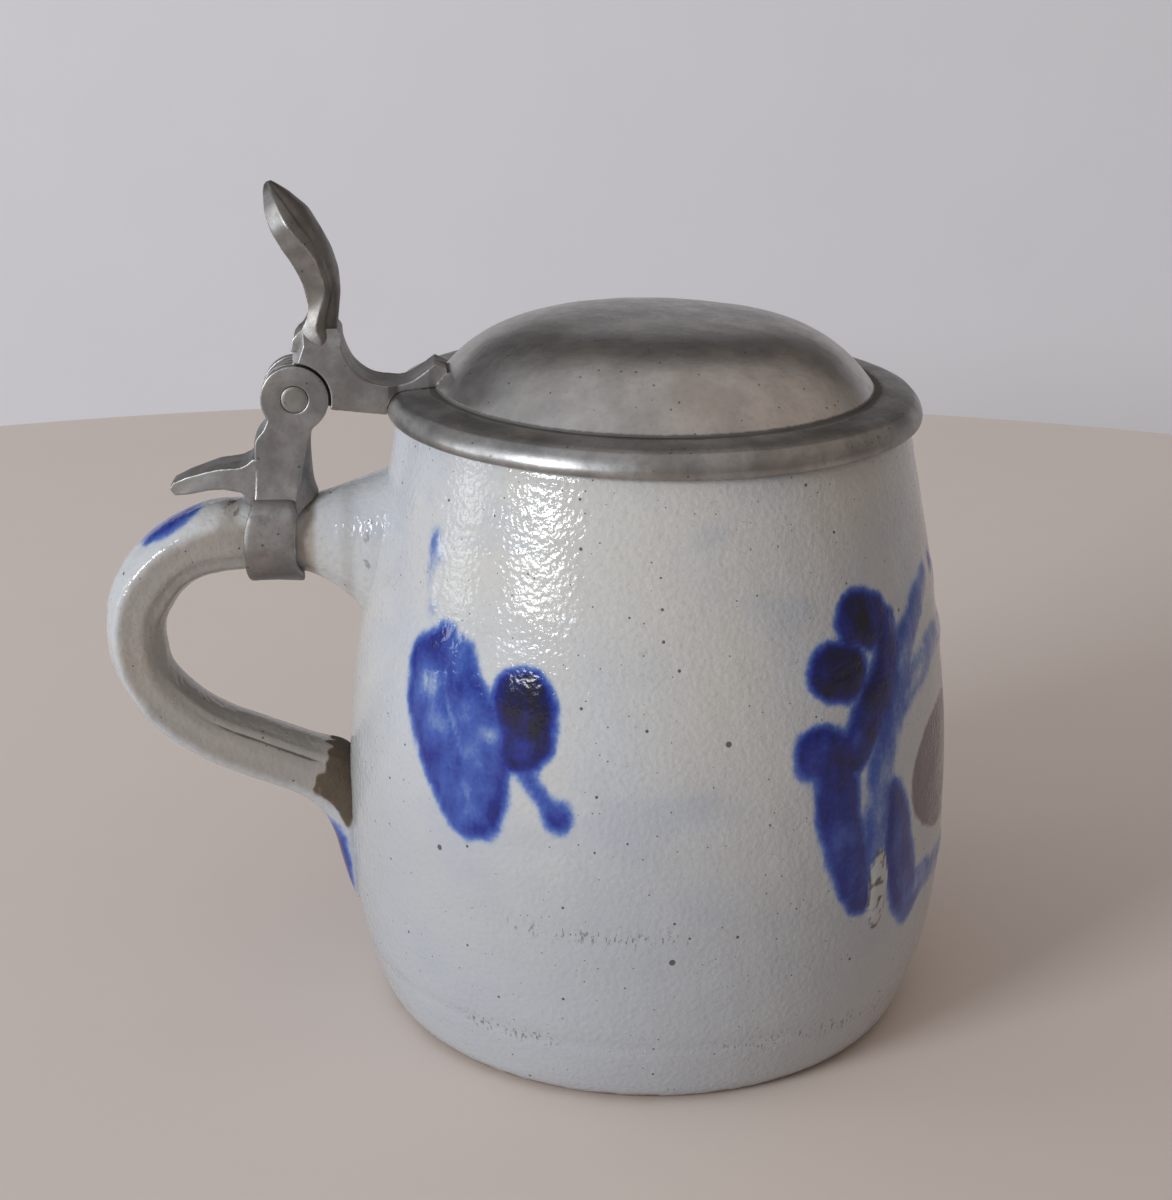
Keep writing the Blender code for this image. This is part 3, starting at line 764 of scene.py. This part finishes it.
def handle_band():
    """A cast strap closed round the handle, with uneven edges and a lip that flares underneath."""
    around, count = 144, 20
    rings = []
    for a in full_turn(around):
        squared = 1 - 0.5 * smoothstep(math.sin(a), 0.0, 0.35)
        side, up = squarish(a, squared)
        back = BAND_BACK - 1.2 * smoothstep(up, 0.1, 1.0) - 0.7 * smoothstep(-up, 0.5, 1.0)
        back = back + 0.10 * math.sin(5 * a)
        front = BAND_FRONT + 0.1 - 0.8 * smoothstep(-up, 0.2, 1.0)
        front = front + 0.24 * math.sin(4 * a + 0.6) + 0.12 * math.sin(9 * a)
        under = smoothstep(-up, 0.3, 1.0)
        ring = []
        for c in full_turn(count):
            along, thick = squarish(c, 0.4)
            out = (front + back) / 2 + along * (back - front) / 2
            grow = BAND_THICKNESS * (thick + 1) / 2 + 0.06 + under * 0.35 * along**2
            high = BAND_HEIGHT + (BAND_INNER[1] + grow) * up
            ring.append((-out, (BAND_INNER[0] + grow) * side, high))
        rings.append(ring)
    rings = np.array(rings)
    points, faces = rings.reshape(-1, 3), grid_faces(around, count, close_rows=True)
    faces = outward(points, faces)
    edges = edges_of(faces)
    points = points + normals_of(points, faces) * (wobble(points, 7.0, 31) * 0.07)[:, None]
    bend = curvature(points, faces, edges)
    stain = bell(points[:, 2], 91.0, 2.4) * smoothstep(wobble(points, 5.0, 32), -0.8, 0.2)
    stain = stain + 0.35 * smoothstep(wobble(points, 9.0, 33), -0.2, 0.8)
    fields = {"worn": np.maximum(bend, 0) * 0.6, "hollow": 0.55 * np.clip(stain, 0, 1)}
    piece("handle_band_strap", points, faces, CAST_PEWTER, "mug", ["handle_band"], fields)


def band_core():
    """An oval bar inside the band, cut away from what is cast on it."""
    a = full_turn(72)
    y, z = (BAND_INNER[0] + 0.7) * np.cos(a), BAND_HEIGHT + (BAND_INNER[1] + 0.7) * np.sin(a)
    return lofted([np.stack([0 * a - out, y, z], axis=1) for out in (50, 75)])


def hinge_post():
    """Neck with a rounded front, a foot that spreads over the band, and three hinge rings."""
    sides = [  # z, front edge out, back edge out, half width, how far the front bulges
        (86.5, 60.7, 68.4, 7.3, 3.6), (89.5, 60.8, 68.0, 6.9, 4.0), (92.0, 60.4, 67.5, 6.0, 3.6),
        (95.0, 59.9, 67.2, 5.2, 2.2), (99.5, 58.9, 67.2, 5.0, 0.9), (102.6, 58.4, 67.0, 5.0, 0.4),
        (104.5, 57.5, 65.6, 5.0, 0.1), (106.5, 56.6, 64.8, 5.0, 0.0), (109.5, 57.5, 64.4, 5.0, 0.0),
    ]
    t = np.linspace(-1, 1, 15)
    rings = []
    for z, front, back, half_width, bulge in resample(spline(sides, 8), 40):
        face = [(-(front - bulge * (1 - s * s)), s * half_width, z) for s in t]
        rear = [(-(back + 0.25 * (1 - s * s)), s * half_width, z) for s in -t]
        rings.append(face + rear)
    parts = [lofted(rings), drum(RING_RADIUS, -HINGE_HALF_WIDTH, HINGE_HALF_WIDTH)]
    cuts = [band_core()]
    for low in (SHANK_RING_INNER, -SHANK_RING_OUTER):
        high = low + SHANK_RING_OUTER - SHANK_RING_INNER
        cuts.append(drum(SLOT_RADIUS, low - HINGE_GAP, high + HINGE_GAP))
    cuts.append(drum(PIN_RADIUS + 0.05, -8, 8))

    def shape(points):
        return planed(points, [((-67.6, 0, 100), (-1, 0.0, 0.05))])

    cast("hinge_post_cast", parts, cuts, CAST_PEWTER, "mug", ["hinge_post"], shape)


def rear_tang():
    """A tapering leaf that reaches back over the handle."""
    outline = [
        (66.4, 99.6), (67.5, 99.6), (68.6, 98.6), (69.9, 98.0), (73.5, 97.6), (75.7, 97.0), (78.9, 95.9),
        (81.2, 94.8), (81.9, 93.8), (81.0, 92.6), (79.0, 92.9), (75.3, 93.8), (72.6, 94.1), (69.6, 93.6),
        (68.5, 91.8), (66.4, 91.5),
    ]

    def shape(points):
        out = -points[:, 0]
        width = np.interp(out, [67, 70, 74, 78, 80, 82], [1.0, 0.93, 0.80, 0.62, 0.52, 0.44])
        points = points.copy()
        points[:, 1] *= width
        return points

    parts = [prism(outline, -HINGE_HALF_WIDTH, HINGE_HALF_WIDTH)]
    cast("rear_tang_leaf", parts, [band_core()], CAST_PEWTER, "mug", ["rear_tang"], shape)


def hinge_pin():
    """A peened pin: slightly domed ends with a small bevel."""
    half, radius = HINGE_HALF_WIDTH, PIN_RADIUS - 0.01
    ends = [(0.0, half + 0.02), (radius * 0.7, half + 0.01), (radius - 0.12, half - 0.02),
            (radius, half - 0.12)]
    loop = np.array([(r, -y) for r, y in ends] + [(r, y) for r, y in reversed(ends)])
    points, faces = turned(loop, 64)
    points = np.stack([points[:, 0] - PIN_OUT, points[:, 2], points[:, 1] + PIN_HEIGHT], axis=1)
    piece("hinge_pin_peened", points, faces, PIN_PEWTER, "mug", ["hinge_pin"])


# ---- pewter lid

def rim_section():
    """The rim's top and rolled edge, from its inside, as (radius, z)."""
    return [
        (36.2, RIM_TOP), (39.0, RIM_TOP - 0.02), (42.0, RIM_TOP - 0.35), (43.5, RIM_TOP - 0.80),
        (43.9, RIM_TOP - 1.05), (44.7, RIM_TOP - 2.0), (RIM_RADIUS, RIM_TOP - 3.2),
        (RIM_RADIUS, RIM_TOP - 4.1), (44.9, RIM_TOP - 4.6), (44.3, RIM_TOP - 4.7),
    ]


def lid_rim():
    top = resample(spline(rim_section(), 8), 44)
    seat = LIP_HEIGHT + 0.3
    under = [(43.9, seat), (37.8, seat), (37.5, 104.2), (36.2, 104.2), (36.0, 107.0)]
    loop = np.vstack([top, under])
    points, faces = turned(loop, LID_SEGMENTS)
    radius = np.hypot(points[:, 0], points[:, 1])
    uneven = 0.05 * wobble(points, 16.0, 41) + 0.02 * wobble(points, 5.0, 42)
    points[:, 2] += np.where(points[:, 2] > 107.5, uneven, 0)
    on_top = points[:, 2] > RIM_TOP - 1.2
    seam = np.where(on_top, bell(radius, DOME_RADIUS, 1.0), 0)
    flange = (0.34 + 0.10 * wobble(points, 9.0, 44)) * (radius < 43.5)
    fields = {
        "hollow": np.clip(seam * 1.1 + np.where(on_top, flange, 0), 0, 1),
        "worn": bell(radius, 44.2, 0.5) * (points[:, 2] > RIM_TOP - 2.2) * 0.4,
    }
    piece("lid_rim_turned", points, faces, RIM_PEWTER, "lid", ["lid_rim"], fields, SEAM_ANGLE)


def dome_curve(foot_radius, foot, rise, steps=40):
    """(radius, z) from the dome's foot to its crown."""
    climbed = np.sin(np.radians(90) * np.arange(steps) / steps) ** 2
    curve = np.stack([foot_radius * (1 - climbed) ** (1 / DOME_FULLNESS), foot + rise * climbed], axis=1)
    return np.vstack([curve, [(foot_radius * share, foot + rise) for share in (0.22, 0.1, 0.0)]])


def lid_dome():
    foot = RIM_TOP + 0.02
    outside = dome_curve(DOME_RADIUS, foot, DOME_RISE + 0.25)
    inside = dome_curve(DOME_RADIUS - DOME_SHELL, foot, DOME_RISE - DOME_SHELL)
    loop = np.vstack([inside[::-1], outside])
    points, faces = turned(loop, LID_SEGMENTS)
    z = points[:, 2]
    uneven = 0.10 * wobble(points, 26.0, 51) + 0.03 * wobble(points, 8.0, 52)
    points[:, 2] += uneven * smoothstep(z, foot, foot + 5)
    row = np.append(np.repeat(np.arange(1, len(loop) - 1), LID_SEGMENTS), [0, len(loop) - 1])
    seam = np.where(row >= len(inside), 1 - smoothstep(z, foot, foot + 0.9), 0)
    fields = {"hollow": seam, "worn": np.zeros(len(points))}
    piece("lid_dome_turned", points, faces, DOME_PEWTER, "lid", ["lid_dome"], fields,
          SEAM_ANGLE)


def lid_clearance():
    """The lid's outside, a hair larger, cut away from the shank that lies on it."""
    gap = 0.06
    dome = dome_curve(DOME_RADIUS + gap, RIM_TOP + gap, DOME_RISE + gap, 14)
    rim = [(r + gap, z + gap) for r, z in rim_section()[:-2] if r > DOME_RADIUS + 1]
    return turned([(0.0, 98.0), (RIM_RADIUS + gap, 98.0), *reversed(rim), *dome], 180)


def lid_shank():
    """Arm from the hinge to the lid: hollow on top, forked where it climbs the dome, its corners filed."""
    hollow = spline([(52.5, 120.5), (52.3, 118.6), (51.5, 116.4), (50.2, 114.3), (47.7, 112.5),
                     (44.4, 111.9), (41.3, 112.4), (38.9, 113.9)], 4)
    outline = [tuple(p) for p in hollow] + [
        (37.0, 115.4), (35.0, 114.6), (34.0, 107.0), (44.0, 106.9), (54.3, 107.9), (57.0, 109.7),
        (60.0, 112.0), (60.5, 116.6), (60.0, 119.0), (58.9, 120.6), (58.4, 121.4), (53.0, 121.4),
    ]
    fork = prism([(34.0, 118.0), (34.0, 106.0), (37.2, 106.0), (37.2, 118.0)], -1, 1)
    points = fork[0].copy()
    points[:, 1] *= np.where(-points[:, 0] < 35, 2.6, 0.15)
    parts = [prism(outline, -HINGE_HALF_WIDTH, HINGE_HALF_WIDTH),
             drum(RING_RADIUS, -SHANK_RING_OUTER, SHANK_RING_OUTER)]
    cuts = [lid_clearance(), (points, fork[1])]
    for low, high in ((-8, -SHANK_RING_OUTER), (-SHANK_RING_INNER, SHANK_RING_INNER), (SHANK_RING_OUTER, 8)):
        cuts.append(drum(SLOT_RADIUS, low, high))
    cuts.append(drum(PIN_RADIUS + 0.1, -8, 8))

    def shape(points):
        points = points.copy()
        out = -points[:, 0]
        points[:, 1] *= np.interp(out, [35.5, 38.0, 43.2, 44.8], [0.74, 0.84, 0.86, 1.0])
        points[:, 1] *= np.interp(points[:, 2], [119.0, 121.4], [1.0, 0.93])
        facets = [((-60.6, side * 5.0, 112.6), (-0.706, side * 0.661, 0.252)) for side in (-1, 1)]
        facets += [((-56.0, side * 5.0, 118.6), (0.0, side * 0.90, 0.40)) for side in (-1, 1)]
        return planed(points, facets, smoothstep(points[:, 2], 111.5, 113.5))

    cast("lid_shank_arm", parts, cuts, CAST_PEWTER, "lid", ["lid_shank"], shape)


THUMB_RUNGS = [  # front (out, z), back (out, z), half width, where the edge is from front to back
    (52.4, 117.6, 60.8, 117.6, 5.0, 0.36), (52.6, 119.8, 60.3, 119.8, 4.9, 0.40),
    (52.9, 121.8, 58.6, 121.7, 4.6, 0.60), (52.6, 124.6, 57.7, 124.3, 4.4, 0.60),
    (52.4, 127.9, 57.9, 126.9, 4.8, 0.44), (52.7, 130.8, 58.8, 129.8, 5.5, 0.42),
    (53.6, 133.8, 60.2, 132.6, 6.3, 0.40), (55.1, 137.0, 61.8, 135.2, 6.9, 0.47),
    (57.2, 140.4, 63.2, 137.9, 6.6, 0.56), (59.8, 142.8, 64.1, 140.6, 5.0, 0.52),
    (62.0, 144.4, 64.4, 143.2, 3.0, 0.48), (63.2, 145.1, 64.3, 144.6, 1.3, 0.45),
]


def thumblift():
    """A leaf with a rounded, beaded front, a hollow back for the thumb and a waist at its foot."""
    front_t, back_t = np.linspace(-1, 1, 33), np.linspace(1, -1, 17)
    aside = np.abs(front_t)
    bulge = (1 - aside**2.2) ** 0.8
    bead = (0.05 * bell(aside, 0.90, 0.06) - 0.09 * bell(aside, 0.74, 0.07)) * (aside < 0.99)
    rings = []
    for front_out, front_z, back_out, back_z, half, edge in resample(spline(THUMB_RUNGS, 10), 120):
        front, back = np.array([-front_out, 0, front_z]), np.array([-back_out, 0, back_z])
        spread = back - front
        corner = front + spread * edge
        face = corner + np.outer(bulge + bead, front - corner)
        face[:, 1] = front_t * half
        rear = back - np.outer(0.14 * (1 - back_t**2), spread)
        rear[:, 1] = back_t * (0.80 * half)
        rings.append(np.vstack([face, rear]))
    cast("thumblift_leaf", [lofted(rings)], (), THUMB_PEWTER, "lid", ["thumblift"], relax=1, voxel=0.14)


# ---- scene

TABLE_RADIUS, TABLE_CENTRE = 0.56, (-0.012, -0.125, 0)
WALL_DISTANCE, WALL_BOTTOM, WALL_TOP = 0.95, -0.6, 0.38
# The table's two colours paint the light across it: a shaded front and a lit back.
TABLE_FRONT_SHADED, TABLE_BACK_LIT, WALL_TONE = (0.740, 0.645, 0.585), (0.880, 0.790, 0.735), (0.860, 0.850, 0.890)


def stage():
    """A pale round table top, painted darker at the front and lighter at the back, and a pale wall behind it
    that glows faintly: both are painted light.
    """
    edge = [(TABLE_RADIUS - 0.004, -0.02), (TABLE_RADIUS, -0.016), (TABLE_RADIUS, -0.003),
            (TABLE_RADIUS - 0.0015, 0)]
    table = new_object("table_top", *turned([(0, -0.02), *edge, (0, 0)], 256))
    table.location = TABLE_CENTRE
    corners = [(-2.6, WALL_BOTTOM), (2.6, WALL_BOTTOM), (2.6, WALL_TOP), (-2.6, WALL_TOP)]
    wall = new_object("back_wall", [(x, WALL_DISTANCE, z) for x, z in corners], [(0, 1, 2, 3)])
    # The wall's glow (emission 0.10) is painted light: it brightens the table and the far side of the mug.
    for obj, name, near, far, rough, glow in (
        (table, "table_pale", TABLE_FRONT_SHADED, TABLE_BACK_LIT, 0.85, 0.0),
        (wall, "wall_pale_glowing", WALL_TONE, WALL_TONE, 0.9, 0.10),
    ):
        look = material_look(name)
        depth = look.axis("Y")
        # Painted light: the table runs from its shaded front colour to its lit back colour; the wall's two
        # colours are the same.
        colour = look.mix(look.between(depth, -0.12, 0.40), near, far)
        darker = look.mix(1.0, colour, (0.96, 0.96, 0.96), blend="MULTIPLY")
        tone = look.mix(look.noise(60, 3), darker, colour)
        finished = look.finish(
            Base_Color=tone, Roughness=rough, Emission_Color=colour, Emission_Strength=glow)
        obj.data.materials.append(finished)


def aim(obj, place, target, roll=0.0):
    """Puts obj at place, looking at target, turned by roll degrees about its view."""
    back = (Vector(place) - Vector(target)).normalized()
    right = Vector((0, 0, 1)).cross(back).normalized()
    up = back.cross(right)
    c, s = math.cos(math.radians(roll)), math.sin(math.radians(roll))
    right, up = right * c + up * s, up * c - right * s
    matrix = Matrix((right, up, back)).transposed().to_4x4()
    matrix.translation = Vector(place)
    obj.matrix_world = matrix


LIGHT_DISTANCE = 1.3


def direction(azimuth, elevation):
    """The unit vector towards that azimuth round Z, with 0 at +X."""
    a, e = math.radians(azimuth), math.radians(elevation)
    return Vector((math.cos(a) * math.cos(e), math.sin(a) * math.cos(e), math.sin(e)))


def area_light(name, azimuth, elevation, size, power, colour):
    """A soft rectangular light that faces the mug."""
    data = bpy.data.lights.new(name, "AREA")
    data.shape = "RECTANGLE"
    data.size, data.size_y = size
    data.energy = power
    data.color = colour
    target = Vector((0, 0, 0.07))
    aim(linked(name, data), target + direction(azimuth, elevation) * LIGHT_DISTANCE, target)


SKY_LEVELS = [(0.0, 0.31), (0.30, 0.31), (0.62, 0.46), (0.90, 0.55), (1.0, 0.54)]  # (upwards, brightness)
SKY_LEFT, SKY_RIGHT = (1.0, 1.04, 1.10), (0.84, 0.73, 0.65)
FAR_SKY = 0.20  # how bright the sky over the wall is, against the rest


def light():
    """Window light from the left, a weaker light beside it, and a soft sky that dims towards the wall."""
    area_light("window", -142, 15, size=(0.40, 0.42), power=10.6, colour=(0.91, 0.955, 1.0))
    area_light("doorway", -178, 7, size=(0.22, 0.42), power=1.4, colour=(0.93, 0.965, 1.0))
    world = bpy.data.worlds.new("studio")
    bpy.context.scene.world = world
    sky = Look(world, "Generated")
    level = sky.ramp(sky.axis("Z"), [(up, (grey, grey, grey)) for up, grey in SKY_LEVELS])
    rightwards = sky.put("MapRange", {"Value": sky.axis("X"), "From Min": -0.9, "From Max": 0.6})
    tinted = sky.mix(1.0, level, sky.mix(rightwards, SKY_LEFT, SKY_RIGHT), blend="MULTIPLY")
    dim = sky.between(sky.axis("Y"), 0.35, 0.75, 1.0, FAR_SKY)
    colour = sky.put("VectorMath", {0: tinted, "Scale": dim}, operation="SCALE")
    background = sky.put("Background", {"Color": colour})
    sky.put("OutputWorld", {"Surface": background})


CAMERA_TARGET = Vector((-11.1, 0.8, 72.0)) * MM
CAMERA_AZIMUTH, CAMERA_ELEVATION, CAMERA_ROLL = -94.0, 19.17, 0.62
CAMERA_DISTANCE, CAMERA_LENS = 0.3786, 64.8


def camera():
    data = bpy.data.cameras.new("camera")
    data.lens = CAMERA_LENS
    data.sensor_width = 36.0
    data.clip_start = 0.01
    obj = linked("camera", data)
    back = direction(CAMERA_AZIMUTH, CAMERA_ELEVATION)
    aim(obj, CAMERA_TARGET + back * CAMERA_DISTANCE, CAMERA_TARGET, CAMERA_ROLL)
    bpy.context.scene.camera = obj
    bpy.context.scene.view_settings.view_transform = "Standard"


camera()
light()
stage()
stoneware_body()
handle()
handle_band()
hinge_post()
rear_tang()
hinge_pin()
lid_rim()
lid_dome()
lid_shank()
thumblift()
